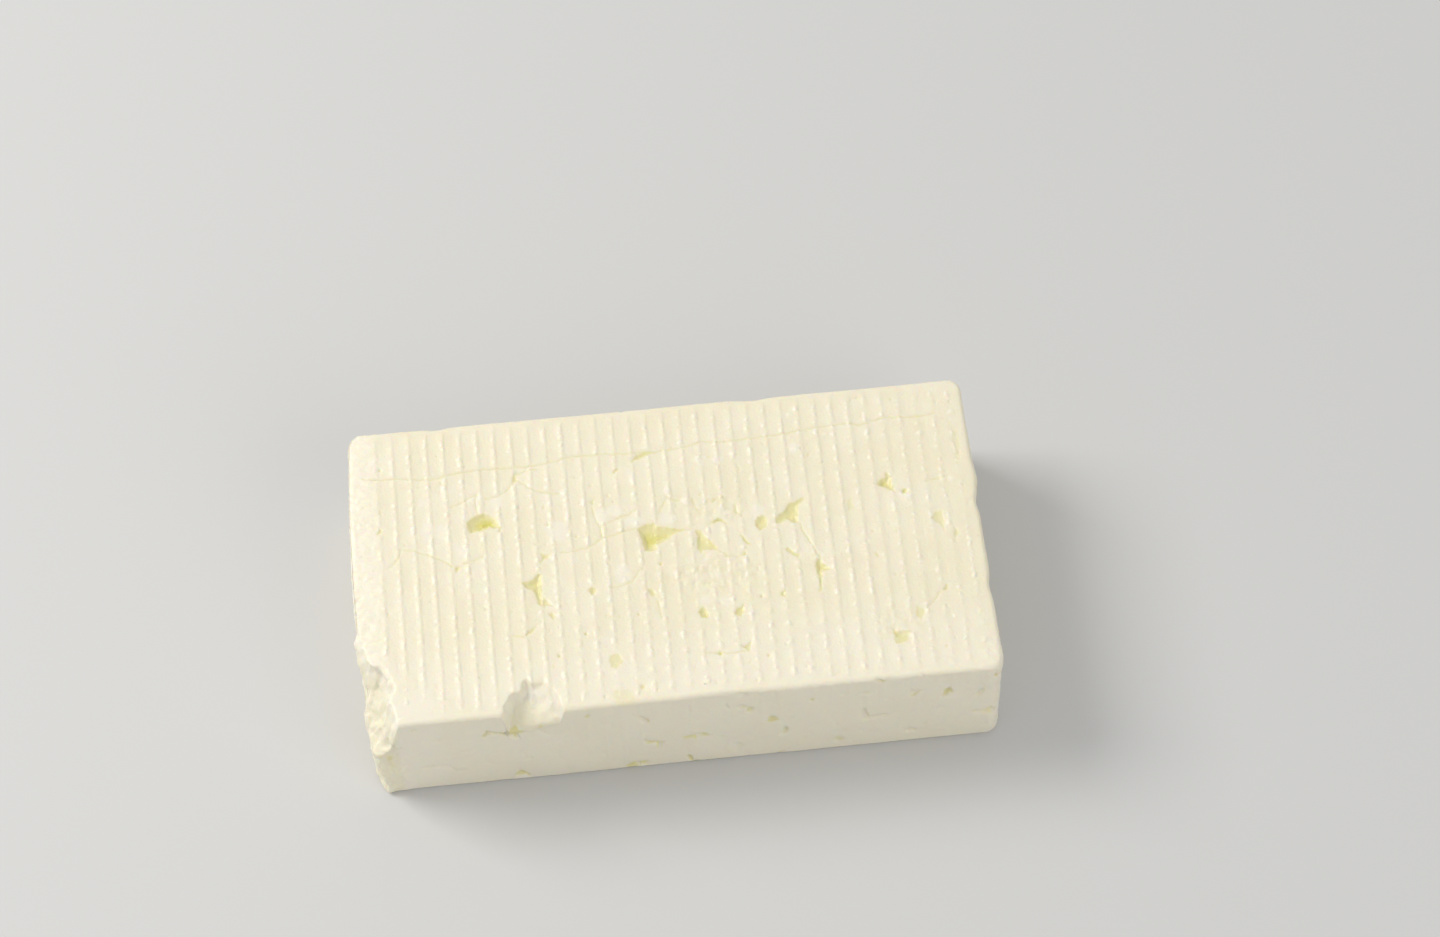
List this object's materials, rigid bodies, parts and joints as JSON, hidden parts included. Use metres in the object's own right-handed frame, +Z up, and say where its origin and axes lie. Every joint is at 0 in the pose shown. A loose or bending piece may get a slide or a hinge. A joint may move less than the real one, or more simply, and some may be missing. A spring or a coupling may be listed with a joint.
{
  "type": "feta block",
  "caption": "Rectangular block of moist white brined cheese with fine mould ridges, curd gaps and seams on its face, a chipped front rim and a broken corner",
  "frame": {"origin": "centre of the flat base", "axes": "+X along the block's length towards its square end, +Y along the mould ridges towards the back, +Z up out of the ridged face"},
  "size_m": [0.25, 0.132, 0.058],
  "materials": {
    "cheese": "moist, ivory white, fine-grained crumbly curd with a soft translucent glow, damp satin face and paler torn edges, faint whey yellow in the gaps"
  },
  "bodies": {
    "root": {"feta_block": "cheese"}
  },
  "joints": []
}
